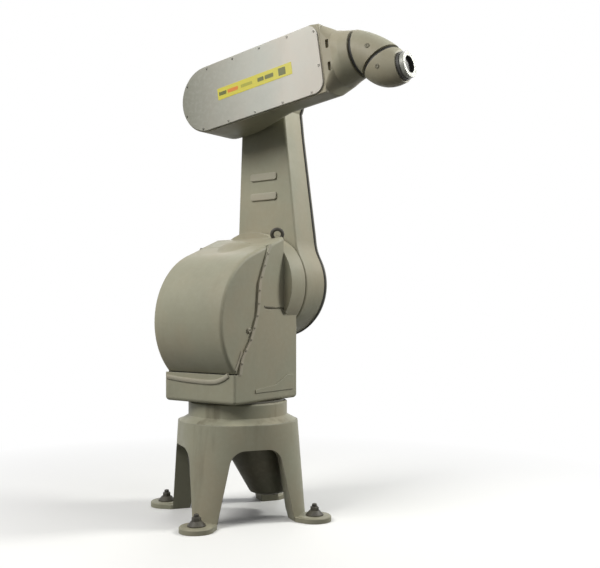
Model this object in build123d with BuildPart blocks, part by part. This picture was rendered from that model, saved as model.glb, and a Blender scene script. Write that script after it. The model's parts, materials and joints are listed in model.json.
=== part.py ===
from build123d import *
import os
from math import asin, cos, radians, sin, sqrt, tan

# Industrial robot arm: legged pedestal, turning turret, lower arm, forearm and hollow three-roll wrist.
# Millimetres. The origin is on the floor on the turning axis of the turret, +X is the reach of the arm,
# +Y is the axis of the shoulder joint and +Z is up. The rest pose is the one that is drawn here.

# Gaps
running_gap = 0.3
cut_overrun = 20.0

# Pedestal: four legs under a round deck, turned against the arm in the rest pose
base_turn = -32.3
pedestal_half_width = 389.0
pedestal_height = 626.0
leg_corner_radius = 190.0
deck_corner_radius = 360.0
pedestal_wall = 42.0
deck_thickness = 55.0
arch_foot_half_width = 260.0
arch_head_half_width = 155.0
arch_height = 470.0
arch_corner_radius = 100.0
foot_bolt_reach = 552.0
foot_pad_radius = 108.0
foot_pad_thickness = 35.0
foot_pad_edge = 7.0
foot_hole_radius = 15.0

# Neck between the pedestal and the turret
shoulder_height = 35.0
neck_radius = 327.0
neck_height = 91.0
neck_edge = 10.0
turntable_radius = 305.0
turntable_height = 12.0

# Housing of the motor that turns the turret, hanging under the deck
turn_motor_turn = 40.0
turn_motor_top_reach = 74.0
turn_motor_top_radius = 238.0
turn_motor_low_reach = 206.0
turn_motor_low_radius = 124.0
turn_motor_drop = 430.0
turn_motor_edge = 28.0
motor_cap_radius = 62.0
motor_cap_thickness = 14.0

# Turret: a broad tray, a yoke that narrows upwards, and the drum and disc of the shoulder joint
turret_half_width = 296.0
turret_near_side = 385.0
turret_far_side = 265.0
tray_height = 185.0
tray_corner = 16.0
tray_bottom_edge = 25.0
shoulder_axis_x = 11.0
shoulder_axis_height = 1524.0
disc_radius = 353.0
disc_width = 150.0
drum_radius = 282.0
drum_side = 40.0
yoke_rise = 576.0
yoke_point_shares = ((0.895, 0.0), (0.847, 0.174), (0.62, 0.372), (0.437, 0.668), (0.392, 1.0))
yoke_blend = 150.0
band_width = 26.0
band_proud = 5.0

# Hood over the shoulder motor
hood_centre_side = 57.0
hood_centre_rise = 315.0
hood_foot_margin = 12.0
hood_top_radius = 470.0
hood_half_width = 287.0
hood_slope = 21.0
hood_edge = 24.0
hood_seat_height = 8.0
hood_seat_inset = 8.0

# Small features of the turret
slot_width = 11.0
slot_depth = 8.0
slot_near = 83.0
slot_far = 114.0
slot_drop = 157.0
slot_tail_side = 169.0
slot_tail_drop = 200.0
front_panel_thickness = 5.0
front_panel_near = 185.0
front_panel_middle = 33.0
front_panel_far = 150.0
front_panel_end = 215.0
front_panel_foot = 62.0
front_panel_near_rise = 83.0
front_panel_middle_rise = 105.0
front_panel_far_rise = 161.0
front_panel_corner = 12.0
rear_panel_width = 330.0
rear_panel_thickness = 9.0
rear_panel_corner = 34.0
rear_panel_foot = 122.0
rear_panel_drop = 257.0
rear_panel_side = 40.0
eye_lean = 35.5
eye_turn = 45.0
eye_side = 112.0
eye_ring_radius = 35.0
eye_bar_radius = 12.0
eye_collar_radius = 21.0
eye_collar_height = 13.5

# Lower arm
arm_length = 1278.0
arm_lean = 0.5
arm_gap = 10.0
arm_low_thickness = 222.0
arm_top_thickness = 195.0
arm_taper_start = 330.0
arm_taper_end = 1000.0
arm_low_radius = 353.0
arm_top_radius = 196.0
arm_front_low = 300.0
arm_front_top = 163.0
arm_back_low = 254.0
arm_back_top = 190.0
arm_low_blend = 300.0
arm_top_blend = 120.0
arm_edge = 18.0
arm_cover_inset = 4.0
arm_cover_thickness = 28.0
arm_rib_width = 225.0
arm_rib_height = 52.0
arm_rib_proud = 13.0
arm_rib_edge = 6.0
arm_rib_rise = 608.0
arm_rib_pitch = 136.0
shoulder_disc_radius = 235.0
shoulder_cap_radius = 205.0
shoulder_cap_thickness = 16.0
shoulder_cap_edge = 5.0
elbow_disc_radius = 158.0
elbow_cap_radius = 132.0

# Forearm
forearm_lift = 8.0
forearm_gap = 27.0
forearm_thickness = 318.0
forearm_half_height = 222.0
forearm_back_reach = 436.0
forearm_front_reach = 738.0
forearm_nose_length = 62.0
forearm_nose_drop = 12.0
forearm_root = -40.0
forearm_slim_start = 330.0
forearm_slim_side = 118.0
forearm_slim_corner = 150.0
forearm_edge = 10.0
plate_thickness = 12.0
plate_inset = 7.0
plate_lean = 8.0
plate_corner = 72.0
plate_edge = 4.0
far_cover_start = 400.0
far_cover_end = 650.0
far_cover_half_height = 60.0
far_cover_thickness = 7.0
far_cover_corner = 20.0
label_start = 106.0
label_end = 512.0
label_half_height = 39.0
label_thickness = 1.2
label_drop = 4.0
label_corner = 4.0

# Neck of the forearm and the three wrist rolls
neck_length = 197.0
neck_knee_share = 0.52
neck_knee_half_width = 152.0
neck_knee_half_height = 177.0
neck_knee_corner = 128.0
neck_start_corner = 56.0
neck_pocket_width = 20.0
neck_pocket_height = 54.0
neck_pocket_depth = 26.0
neck_pocket_reach = 40.0
neck_pocket_rise = 71.0
collar_length = 58.0
collar_start_radius = 163.0
collar_end_radius = 148.0
roll_one_radius = 143.0
roll_two_step = 129.0
roll_two_drop = 111.0
roll_two_radius = 131.0
roll_three_step = 148.0
roll_three_drop = 165.0
roll_three_radius = 97.0
wrist_kink = 60.0
upper_bend_share = 0.6
upper_bend_drop = 54.0
upper_bend_radius = 127.0
upper_bend_half_width = 137.0
upper_bend_tilt = 33.0
lower_bend_share = 0.5
lower_bend_drop = 159.0
lower_bend_radius = 115.0
lower_bend_tilt = 27.0
seal_inset = 12.0
seal_thickness = 24.0
flange_seal_inset = 10.0
flange_seal_thickness = 20.0
flange_radius = 80.0
flange_length = 28.0
flange_edge = 3.0
flange_bore_radius = 54.0
flange_bore_depth = 23.0
flange_bolt_circle = 67.0
flange_bolt_radius = 3.4
flange_bolt_depth = 14.0
flange_bolt_count = 12

# Heights and places worked out from the sizes above
deck_underside = pedestal_height - deck_thickness
neck_base = pedestal_height + shoulder_height
neck_top = neck_base + neck_height
turret_bottom = neck_top + running_gap + turntable_height
tray_top = turret_bottom + tray_height
hood_foot = tray_top + hood_seat_height
hood_centre_height = hood_foot + hood_centre_rise
foot_side = hood_foot_margin - turret_near_side
hood_radius = sqrt((hood_centre_side + foot_side) ** 2 + hood_centre_rise**2)
hood_top_side = hood_centre_side + hood_radius - hood_top_radius
arm_near_side = turret_far_side + arm_gap
elbow_height = shoulder_axis_height + arm_length * cos(radians(arm_lean))
elbow_x = shoulder_axis_x - arm_length * sin(radians(arm_lean))
forearm_far_side = arm_near_side - forearm_gap
wrist_side = forearm_far_side - forearm_thickness / 2
roll_one_reach = forearm_front_reach + neck_length
roll_two_reach = roll_one_reach + roll_two_step
roll_three_reach = roll_two_reach + roll_three_step
slope_angle = radians(90 + hood_slope)
tangent_side = hood_top_radius * cos(slope_angle) - hood_top_side
tangent_height = hood_top_radius * sin(slope_angle) + hood_centre_height

# Planes of the sub-parts
base_plane = Plane(origin=(0, 0, 0), x_dir=(cos(radians(base_turn)), sin(radians(base_turn)), 0))
side_plane = Plane(origin=(0, 0, 0), x_dir=(0, 1, 0), z_dir=(1, 0, 0))
rear_plane = Plane(origin=(-turret_half_width, 0, 0), x_dir=(0, -1, 0), z_dir=(-1, 0, 0))
shoulder_plane = Plane(
    origin=(shoulder_axis_x, 0, shoulder_axis_height), x_dir=(1, 0, 0), z_dir=(0, -1, 0)
)
arm_plane = Plane(
    origin=(shoulder_axis_x, arm_near_side, shoulder_axis_height),
    x_dir=(cos(radians(arm_lean)), 0, sin(radians(arm_lean))),
    z_dir=(0, -1, 0),
)
arm_section_plane = Plane(
    origin=(shoulder_axis_x, arm_near_side, shoulder_axis_height),
    x_dir=(0, 1, 0),
    z_dir=(cos(radians(arm_lean)), 0, sin(radians(arm_lean))),
)
forearm_plane = Plane(
    origin=(elbow_x, wrist_side, elbow_height),
    x_dir=(cos(radians(forearm_lift)), 0, sin(radians(forearm_lift))),
    z_dir=(0, -1, 0),
)


def save(piece, name):
    """Label a finished piece and write it to its own file."""
    piece.part.label = name
    export_step(piece.part, os.path.join("parts", name + ".step"))


def arch_plane(turn):
    """Upright plane through the turning axis that faces along a turn of the pedestal."""
    angle = radians(base_turn + turn)
    return Plane(origin=(0, 0, 0), x_dir=(-sin(angle), cos(angle), 0), z_dir=(cos(angle), sin(angle), 0))


def motor_plane(reach, height):
    """Level plane on the line from the turning axis along which the turning motor is offset."""
    angle = radians(turn_motor_turn)
    return Plane(origin=(reach * cos(angle), reach * sin(angle), height))


def wrist_plane(reach, drop, tilt):
    """Plane across the wrist at a reach and a drop from the elbow, facing down by a tilt."""
    angle = radians(forearm_lift - tilt)
    origin = forearm_plane.from_local_coords((reach, -drop, 0))
    return Plane(origin=origin, x_dir=(0, 1, 0), z_dir=(cos(angle), 0, sin(angle)))


def hood_top(side):
    """Height of the sloping top of the hood at a place across the turret."""
    return tangent_height + (side - tangent_side) * tan(radians(hood_slope))


def yoke_line(shift):
    """Points of the line where the hood meets the yoke, moved across the turret by a shift."""
    return [
        (shift - side_share * turret_near_side, tray_top + rise_share * yoke_rise)
        for side_share, rise_share in yoke_point_shares
    ] + [(shift - drum_side, hood_top(-drum_side))]


def yoke_outline():
    """Side view of the yoke and of the saddle between the hood and the shoulder disc."""
    disc_side = turret_far_side - disc_width
    points = yoke_line(0)
    with BuildSketch(Plane.XY) as outline:
        Polygon(
            (turret_far_side, turret_bottom),
            (turret_far_side, shoulder_axis_height),
            (disc_side, shoulder_axis_height),
            (disc_side, hood_top(disc_side)),
            *reversed(points),
            (points[0][0], turret_bottom),
            align=None,
        )
        bends = outline.vertices().filter_by(
            lambda point: tray_top + band_width < point.Y < tray_top + yoke_rise + band_width
            and point.X < -drum_side - running_gap
        )
        fillet(bends, yoke_blend)
    return outline.sketch


def arm_outline(inset):
    """Outline of the lower arm: round at the shoulder and the elbow, blended into the shank."""
    with BuildSketch(Plane.XY) as outline:
        Circle(arm_low_radius - inset)
        with Locations((0, arm_length)):
            Circle(arm_top_radius - inset)
        Polygon(
            (inset - arm_back_low, 0),
            (arm_front_low - inset, 0),
            (arm_front_top - inset, arm_length),
            (inset - arm_back_top, arm_length),
            align=None,
        )
        corners = outline.vertices().filter_by(lambda point: 0 < point.Y < arm_length)
        fillet(corners.filter_by(lambda point: point.Y < arm_length / 2), arm_low_blend)
        fillet(corners.filter_by(lambda point: point.Y > arm_length / 2), arm_top_blend)
    return outline.sketch


def arm_section(start, end):
    """Section along the lower arm between two depths, thinner towards the elbow."""
    taper = arm_low_thickness - arm_top_thickness
    with BuildSketch(Plane.XY) as section:
        Polygon(
            (start, -arm_low_radius - cut_overrun),
            (end, -arm_low_radius - cut_overrun),
            (end, arm_taper_start),
            (end - taper, arm_taper_end),
            (end - taper, arm_length + arm_low_radius),
            (max(start - taper, 0), arm_length + arm_low_radius),
            (max(start - taper, 0), arm_taper_end),
            (start, arm_taper_start),
            align=None,
        )
    return section.sketch


def forearm_outline(inset, reach, lean):
    """Outline of the forearm seen from the side: round at the back, straight at the front."""
    half_height = forearm_half_height - inset
    back = forearm_half_height - forearm_back_reach
    front = reach - inset
    with BuildSketch(Plane.XY) as outline:
        with BuildLine():
            ThreePointArc((back, half_height), (back - half_height, 0), (back, -half_height))
            Polyline(
                (back, -half_height), (front, -half_height), (front - lean, half_height), (back, half_height)
            )
        make_face()
    return outline.sketch


def forearm_section(far_side, far_corner, drop):
    """Section across the forearm with its two far edges rounded and its top lowered by a drop."""
    with BuildSketch(Plane.XY) as section:
        Polygon(
            (-forearm_thickness / 2, -forearm_half_height),
            (far_side, -forearm_half_height),
            (far_side, forearm_half_height - drop),
            (-forearm_thickness / 2, forearm_half_height - drop),
            align=None,
        )
        fillet(section.vertices().group_by(Axis.X)[-1], far_corner)
    return section.sketch


os.makedirs("parts", exist_ok=True)

# Pedestal casting: four legs that run out of a round deck, with an arch in each side
with BuildPart() as pedestal_casting:
    with BuildSketch(base_plane):
        RectangleRounded(2 * pedestal_half_width, 2 * pedestal_half_width, leg_corner_radius)
    with BuildSketch(base_plane.offset(pedestal_height)):
        RectangleRounded(2 * pedestal_half_width, 2 * pedestal_half_width, deck_corner_radius)
    loft()
    with BuildSketch(base_plane):
        Circle(pedestal_half_width - pedestal_wall)
    extrude(amount=deck_underside, mode=Mode.SUBTRACT)
    for turn in (0, 90):
        with BuildSketch(arch_plane(turn)) as arch:
            Polygon(
                (-arch_foot_half_width, 0),
                (arch_foot_half_width, 0),
                (arch_head_half_width, arch_height),
                (-arch_head_half_width, arch_height),
                align=None,
            )
            fillet(arch.vertices().group_by(Axis.Y)[-1], arch_corner_radius)
        extrude(amount=pedestal_half_width + cut_overrun, both=True, mode=Mode.SUBTRACT)
    leg_reach = (pedestal_half_width + arch_foot_half_width) / sqrt(2)
    leg_half = (pedestal_half_width - arch_foot_half_width) / sqrt(2)
    for turn in (45, 135, 225, 315):
        pad_plane = base_plane.rotated((0, 0, turn))
        with BuildSketch(pad_plane):
            Polygon(
                (arch_foot_half_width * sqrt(2), 0),
                (leg_reach, -leg_half),
                (foot_bolt_reach, -foot_pad_radius),
                (foot_bolt_reach, foot_pad_radius),
                (leg_reach, leg_half),
                align=None,
            )
            with Locations((foot_bolt_reach, 0)):
                Circle(foot_pad_radius)
        extrude(amount=foot_pad_thickness - foot_pad_edge)
        with BuildSketch(pad_plane.offset(foot_pad_thickness - foot_pad_edge)):
            with Locations((foot_bolt_reach, 0)):
                Circle(foot_pad_radius)
        extrude(amount=foot_pad_edge, taper=45)
    with BuildSketch(base_plane):
        with PolarLocations(foot_bolt_reach, 4, start_angle=45):
            Circle(foot_hole_radius)
    extrude(amount=foot_pad_thickness + cut_overrun, mode=Mode.SUBTRACT)
save(pedestal_casting, "pedestal_casting")

# Bearing housing: the sloped shoulder on the deck and the round neck above it
with BuildPart() as bearing_housing:
    with BuildSketch(Plane.XY.offset(pedestal_height)):
        Circle(pedestal_half_width)
    with BuildSketch(Plane.XY.offset(neck_base)):
        Circle(neck_radius)
    loft()
    with BuildSketch(Plane.XY.offset(neck_base)):
        Circle(neck_radius)
    extrude(amount=neck_height)
    fillet(bearing_housing.edges().group_by(Axis.Z)[-1], neck_edge)
save(bearing_housing, "bearing_housing")

# Motor housing below the deck, and the cap on its end
with BuildPart() as turn_motor_housing:
    with BuildSketch(motor_plane(turn_motor_top_reach, deck_underside)):
        Circle(turn_motor_top_radius)
    with BuildSketch(motor_plane(turn_motor_low_reach, deck_underside - turn_motor_drop)):
        Circle(turn_motor_low_radius)
    loft()
    fillet(turn_motor_housing.edges().group_by(Axis.Z)[0], turn_motor_edge)
save(turn_motor_housing, "turn_motor_housing")

with BuildPart() as turn_motor_cap:
    with BuildSketch(motor_plane(turn_motor_low_reach, deck_underside - turn_motor_drop)):
        Circle(motor_cap_radius)
    extrude(amount=-motor_cap_thickness)
save(turn_motor_cap, "turn_motor_cap")

# Turntable: the disc that turns on the neck and carries the turret
with BuildPart() as turntable:
    with BuildSketch(Plane.XY.offset(neck_top + running_gap)):
        Circle(turntable_radius)
    extrude(amount=turntable_height)
save(turntable, "turntable")

# Turret casting: tray, yoke with a raised band along the hood, drum and disc of the shoulder joint
with BuildPart() as turret_casting:
    with BuildSketch(side_plane):
        add(yoke_outline())
    extrude(amount=turret_half_width, both=True)
    saddle_edges = turret_casting.edges().filter_by(
        lambda edge: edge.center().Z > hood_top(-drum_side) and abs(edge.center().X) > hood_half_width
        and edge.center().Y < turret_far_side - disc_width - running_gap
    )
    fillet(saddle_edges, hood_edge)
    with BuildSketch(Plane.XY.offset(turret_bottom)):
        with Locations((0, (turret_far_side - turret_near_side) / 2)):
            Rectangle(2 * turret_half_width, turret_far_side + turret_near_side)
    extrude(amount=tray_height)
    fillet(turret_casting.edges().filter_by(Axis.Z).group_by(Axis.Y)[0], tray_corner)
    fillet(turret_casting.edges().filter_by(Axis.Z).group_by(Axis.Y)[-1], tray_corner)
    fillet(turret_casting.edges().group_by(Axis.Z)[0], tray_bottom_edge)
    with BuildSketch(shoulder_plane.offset(-turret_far_side)):
        Circle(drum_radius)
    extrude(amount=turret_far_side + drum_side)
    with BuildSketch(shoulder_plane.offset(-turret_far_side)):
        Circle(disc_radius)
    extrude(amount=disc_width)
    slot_height = shoulder_axis_height - slot_drop
    slot_tail_height = shoulder_axis_height - slot_tail_drop
    with BuildSketch(side_plane.offset(turret_half_width)):
        Polygon(
            (-slot_near, slot_height),
            (slot_far, slot_height),
            (slot_tail_side, slot_tail_height),
            (slot_tail_side - slot_width, slot_tail_height - slot_width),
            (slot_far - slot_width / 2, slot_height - slot_width),
            (-slot_near, slot_height - slot_width),
            align=None,
        )
    extrude(amount=-slot_depth, mode=Mode.SUBTRACT)
save(turret_casting, "turret_casting")

# Hood over the shoulder motor, and the gasket it sits on
with BuildPart() as motor_hood:
    near_angle = (slope_angle + radians(180)) / 2
    low_angle = (radians(180) + radians(180) + asin(hood_centre_rise / hood_radius)) / 2
    with BuildSketch(side_plane):
        with BuildLine():
            ThreePointArc(
                (foot_side, hood_foot),
                (
                    hood_radius * cos(low_angle) - hood_centre_side,
                    hood_radius * sin(low_angle) + hood_centre_height,
                ),
                (-hood_centre_side - hood_radius, hood_centre_height),
            )
            ThreePointArc(
                (-hood_centre_side - hood_radius, hood_centre_height),
                (
                    hood_top_radius * cos(near_angle) - hood_top_side,
                    hood_top_radius * sin(near_angle) + hood_centre_height,
                ),
                (tangent_side, tangent_height),
            )
            Polyline(
                (tangent_side, tangent_height),
                (-drum_side, hood_top(-drum_side)),
                (-drum_side, hood_foot),
                (foot_side, hood_foot),
            )
        make_face()
    extrude(amount=hood_half_width, both=True)
    outer_edges = motor_hood.edges().filter_by(
        lambda edge: abs(edge.center().X) > hood_half_width - running_gap
        and edge.center().Z > hood_foot + running_gap
        and edge.center().Y < -drum_side - running_gap
    )
    fillet(outer_edges, hood_edge)
    with BuildSketch(side_plane):
        add(yoke_outline())
    extrude(amount=turret_half_width, both=True, mode=Mode.SUBTRACT)
save(motor_hood, "motor_hood")

with BuildPart() as hood_seat:
    with BuildSketch(Plane.XY.offset(tray_top)):
        with Locations((0, foot_side + hood_seat_inset)):
            Rectangle(
                2 * (hood_half_width - hood_seat_inset), turret_near_side, align=(Align.CENTER, Align.MIN)
            )
    extrude(amount=hood_seat_height)
    add(turret_casting.part, mode=Mode.SUBTRACT)
save(hood_seat, "hood_seat")

# Raised band on both sides of the yoke, along the edge of the hood
with BuildPart() as hood_band:
    for place in (turret_half_width, -turret_half_width - band_proud):
        with BuildSketch(side_plane.offset(place)) as band:
            Polygon(*yoke_line(0), *reversed(yoke_line(band_width)), align=None)
            fillet(
                band.vertices().filter_by(
                    lambda point: tray_top + band_width < point.Y < tray_top + yoke_rise + band_width
                    and point.X < -drum_side - band_width
                ),
                yoke_blend - band_width,
            )
        extrude(amount=band_proud)
save(hood_band, "hood_band")

# Raised plate low on the front of the turret, and the plain cover on its back
with BuildPart() as front_panel:
    with BuildSketch(side_plane.offset(turret_half_width)) as panel:
        Polygon(
            (-front_panel_near, turret_bottom + front_panel_foot),
            (front_panel_end, turret_bottom + front_panel_foot),
            (front_panel_end, turret_bottom + front_panel_far_rise),
            (front_panel_far, turret_bottom + front_panel_far_rise),
            (front_panel_middle, turret_bottom + front_panel_middle_rise),
            (-front_panel_near, turret_bottom + front_panel_near_rise),
            align=None,
        )
        fillet(panel.vertices(), front_panel_corner / 2)
    extrude(amount=front_panel_thickness)
save(front_panel, "front_panel")

rear_panel_low = turret_bottom + rear_panel_foot
rear_panel_high = shoulder_axis_height - rear_panel_drop
with BuildPart() as rear_panel:
    with BuildSketch(rear_plane):
        with Locations((-rear_panel_side, (rear_panel_low + rear_panel_high) / 2)):
            RectangleRounded(rear_panel_width, rear_panel_high - rear_panel_low, rear_panel_corner)
    extrude(amount=rear_panel_thickness)
save(rear_panel, "rear_panel")

# Lifting eye on the front of the shoulder disc
eye_angle = radians(90 - eye_lean)
eye_direction = Vector(cos(eye_angle), 0, sin(eye_angle))
eye_foot = Vector(shoulder_axis_x, eye_side, shoulder_axis_height) + eye_direction * disc_radius
eye_normal = Vector(0, -cos(radians(eye_turn)), 0) + Vector(
    sin(eye_angle), 0, -cos(eye_angle)
) * sin(radians(eye_turn))
eye_reach = eye_collar_height + eye_ring_radius
with BuildPart() as lifting_eye:
    with BuildSketch(Plane(origin=tuple(eye_foot), z_dir=tuple(eye_direction))):
        Circle(eye_collar_radius)
    extrude(amount=eye_collar_height)
    with BuildSketch(Plane(origin=tuple(eye_foot), z_dir=tuple(eye_direction))):
        Circle(eye_collar_radius - eye_bar_radius / 2)
    extrude(amount=-eye_collar_height)
    with Locations(Plane(origin=tuple(eye_foot + eye_direction * eye_reach), z_dir=tuple(eye_normal))):
        Torus(eye_ring_radius, eye_bar_radius)
    add(turret_casting.part, mode=Mode.SUBTRACT)
save(lifting_eye, "lifting_eye")

# Lower arm: round at the shoulder, blended into a tapered shank, thinner towards the elbow
with BuildPart() as lower_arm:
    with BuildSketch(arm_plane):
        add(arm_outline(0))
    extrude(amount=-arm_low_thickness)
    with BuildSketch(arm_section_plane):
        add(arm_section(0, arm_low_thickness))
    extrude(amount=arm_low_radius + cut_overrun, both=True, mode=Mode.INTERSECT)
    fillet(lower_arm.faces().sort_by(Axis.Y)[0].edges(), arm_edge)
save(lower_arm, "lower_arm")

with BuildPart() as arm_cover:
    with BuildSketch(arm_plane):
        add(arm_outline(arm_cover_inset))
    extrude(amount=-arm_low_thickness - arm_cover_thickness)
    with BuildSketch(arm_section_plane):
        add(arm_section(arm_low_thickness, arm_low_thickness + arm_cover_thickness))
    extrude(amount=arm_low_radius + cut_overrun, both=True, mode=Mode.INTERSECT)
save(arm_cover, "arm_cover")

with BuildPart() as arm_ribs:
    for rise in (arm_rib_rise, arm_rib_rise + arm_rib_pitch):
        with BuildSketch(arm_plane):
            with Locations((0, rise)):
                RectangleRounded(arm_rib_width, arm_rib_height, arm_rib_height / 3)
        extrude(amount=arm_rib_proud)
    fillet(arm_ribs.edges().group_by(Axis.Y)[0], arm_rib_edge)
save(arm_ribs, "arm_ribs")

# Discs of the shoulder and elbow joints, and the round caps on the far side of the arm
with BuildPart() as shoulder_disc:
    with BuildSketch(arm_plane):
        Circle(shoulder_disc_radius)
    extrude(amount=arm_gap - running_gap)
save(shoulder_disc, "shoulder_disc")

with BuildPart() as elbow_disc:
    with BuildSketch(arm_plane):
        with Locations((0, arm_length)):
            Circle(elbow_disc_radius)
    extrude(amount=forearm_gap - running_gap)
save(elbow_disc, "elbow_disc")

far_depth = arm_low_thickness + arm_cover_thickness
with BuildPart() as shoulder_cap:
    with BuildSketch(arm_plane.offset(-far_depth)):
        Circle(shoulder_cap_radius)
    extrude(amount=-shoulder_cap_thickness)
    chamfer(shoulder_cap.edges().group_by(Axis.Y)[-1], shoulder_cap_edge)
save(shoulder_cap, "shoulder_cap")

with BuildPart() as elbow_cap:
    with BuildSketch(arm_plane.offset(arm_low_thickness - arm_top_thickness - far_depth)):
        with Locations((0, arm_length)):
            Circle(elbow_cap_radius)
    extrude(amount=-shoulder_cap_thickness)
    chamfer(elbow_cap.edges().group_by(Axis.Y)[-1], shoulder_cap_edge)
save(elbow_cap, "elbow_cap")

# Forearm housing: a round-ended box, slimmer and rounded on the far side in front of the elbow
slim_nose = forearm_front_reach - forearm_nose_length
with BuildPart() as forearm_housing:
    with BuildSketch(forearm_plane):
        add(forearm_outline(0, forearm_root, 0))
    extrude(amount=forearm_thickness / 2, both=True)
    fillet(forearm_housing.faces().sort_by(Axis.Y)[-1].edges().sort_by(Axis.X)[:-1], forearm_edge)
    for reach, far_side, far_corner, drop in (
        (forearm_root, forearm_thickness / 2, forearm_edge, 0),
        (forearm_slim_start, forearm_slim_side, forearm_slim_corner, 0),
        (slim_nose, forearm_slim_side, forearm_slim_corner, 0),
        (forearm_front_reach, forearm_slim_side, forearm_slim_corner, forearm_nose_drop),
    ):
        with BuildSketch(wrist_plane(reach, 0, 0)):
            add(forearm_section(far_side, far_corner, drop))
    loft(ruled=True)
    fillet(forearm_housing.faces().sort_by(Axis.Y)[0].edges(), plate_edge)
save(forearm_housing, "forearm_housing")

with BuildPart() as forearm_plate:
    with BuildSketch(forearm_plane.offset(forearm_thickness / 2)) as plate_view:
        add(forearm_outline(plate_inset, forearm_front_reach, plate_lean))
        fillet(plate_view.vertices().filter_by(lambda point: point.X > forearm_half_height), plate_corner)
    extrude(amount=plate_thickness)
    fillet(forearm_plate.faces().sort_by(Axis.Y)[0].edges(), plate_edge)
save(forearm_plate, "forearm_plate")

with BuildPart() as label_plate:
    with BuildSketch(forearm_plane.offset(forearm_thickness / 2 + plate_thickness)):
        with Locations(((label_end - label_start) / 2, -label_drop)):
            RectangleRounded(label_start + label_end, 2 * label_half_height, label_corner)
    extrude(amount=label_thickness)
save(label_plate, "label_plate")

with BuildPart() as forearm_far_cover:
    with BuildSketch(forearm_plane.offset(-forearm_slim_side)):
        with Locations(((far_cover_start + far_cover_end) / 2, 0)):
            RectangleRounded(far_cover_end - far_cover_start, 2 * far_cover_half_height, far_cover_corner)
    extrude(amount=-far_cover_thickness)
save(forearm_far_cover, "forearm_far_cover")

# Neck of the forearm: a block that narrows to the round collar of the first wrist roll
collar_start = roll_one_reach - seal_thickness - collar_length
knee_reach = forearm_front_reach + neck_knee_share * (collar_start - forearm_front_reach)
with BuildPart() as forearm_neck:
    with BuildSketch(wrist_plane(forearm_front_reach, 0, 0)) as neck_start:
        add(forearm_section(forearm_slim_side, forearm_slim_corner, forearm_nose_drop))
        fillet(neck_start.vertices().group_by(Axis.X)[0], neck_start_corner)
    with BuildSketch(wrist_plane(knee_reach, 0, 0)):
        RectangleRounded(2 * neck_knee_half_width, 2 * neck_knee_half_height, neck_knee_corner)
    with BuildSketch(wrist_plane(collar_start, 0, 0)):
        RectangleRounded(
            2 * collar_start_radius, 2 * collar_start_radius, collar_start_radius - running_gap
        )
    loft(ruled=True)
    with BuildSketch(wrist_plane(collar_start, 0, 0)):
        Circle(collar_start_radius)
    with BuildSketch(wrist_plane(collar_start + collar_length, 0, 0)):
        Circle(collar_end_radius)
    loft()
    with BuildSketch(forearm_plane.offset(forearm_thickness / 2)):
        with Locations(
            (forearm_front_reach + neck_pocket_reach, neck_pocket_rise),
            (forearm_front_reach + neck_pocket_reach, -neck_pocket_rise),
        ):
            RectangleRounded(neck_pocket_width, neck_pocket_height, neck_pocket_width / 3)
    extrude(amount=-neck_pocket_depth, mode=Mode.SUBTRACT)
save(forearm_neck, "forearm_neck")

with BuildPart() as roll_one_seal:
    with BuildSketch(wrist_plane(roll_one_reach - seal_thickness, 0, 0)):
        Circle(roll_one_radius - seal_inset)
    extrude(amount=seal_thickness - running_gap)
save(roll_one_seal, "roll_one_seal")

# Upper wrist: the elbow between the first and the second roll
upper_bend_reach = roll_one_reach + upper_bend_share * roll_two_step
upper_bend = wrist_plane(upper_bend_reach, upper_bend_drop, upper_bend_tilt)
with BuildPart() as wrist_upper:
    with BuildSketch(wrist_plane(roll_one_reach, 0, 0)):
        Circle(roll_one_radius)
    with BuildSketch(upper_bend):
        Ellipse(upper_bend_half_width, upper_bend_radius)
    with BuildSketch(wrist_plane(roll_two_reach, roll_two_drop, wrist_kink).offset(-seal_thickness)):
        Circle(roll_two_radius)
    loft()
save(wrist_upper, "wrist_upper")

with BuildPart() as roll_two_seal:
    with BuildSketch(wrist_plane(roll_two_reach, roll_two_drop, wrist_kink).offset(-seal_thickness)):
        Circle(roll_two_radius - seal_inset)
    extrude(amount=seal_thickness - running_gap)
save(roll_two_seal, "roll_two_seal")

# Lower wrist: the elbow between the second and the third roll
lower_bend_reach = roll_two_reach + lower_bend_share * roll_three_step
lower_bend = wrist_plane(lower_bend_reach, lower_bend_drop, lower_bend_tilt)
with BuildPart() as wrist_lower:
    with BuildSketch(wrist_plane(roll_two_reach, roll_two_drop, wrist_kink)):
        Circle(roll_two_radius)
    with BuildSketch(lower_bend):
        Circle(lower_bend_radius)
    with BuildSketch(wrist_plane(roll_three_reach - flange_seal_thickness, roll_three_drop, 0)):
        Circle(roll_three_radius)
    loft()
save(wrist_lower, "wrist_lower")

with BuildPart() as roll_three_seal:
    with BuildSketch(wrist_plane(roll_three_reach - flange_seal_thickness, roll_three_drop, 0)):
        Circle(roll_three_radius - flange_seal_inset)
    extrude(amount=flange_seal_thickness - running_gap)
save(roll_three_seal, "roll_three_seal")

# Tool flange with its bore and bolt holes
with BuildPart() as tool_flange:
    with BuildSketch(wrist_plane(roll_three_reach, roll_three_drop, 0)):
        Circle(flange_radius)
    extrude(amount=flange_length)
    chamfer(tool_flange.edges().sort_by(Axis.X)[-1], flange_edge)
    with BuildSketch(wrist_plane(roll_three_reach + flange_length, roll_three_drop, 0)):
        Circle(flange_bore_radius)
    extrude(amount=-flange_bore_depth, mode=Mode.SUBTRACT)
    with BuildSketch(wrist_plane(roll_three_reach + flange_length, roll_three_drop, 0)):
        with PolarLocations(flange_bolt_circle, flange_bolt_count):
            Circle(flange_bolt_radius)
    extrude(amount=-flange_bolt_depth, mode=Mode.SUBTRACT)
save(tool_flange, "tool_flange")
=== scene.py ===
import json
import math

import bmesh
import bpy
from mathutils import Matrix, Vector


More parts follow.
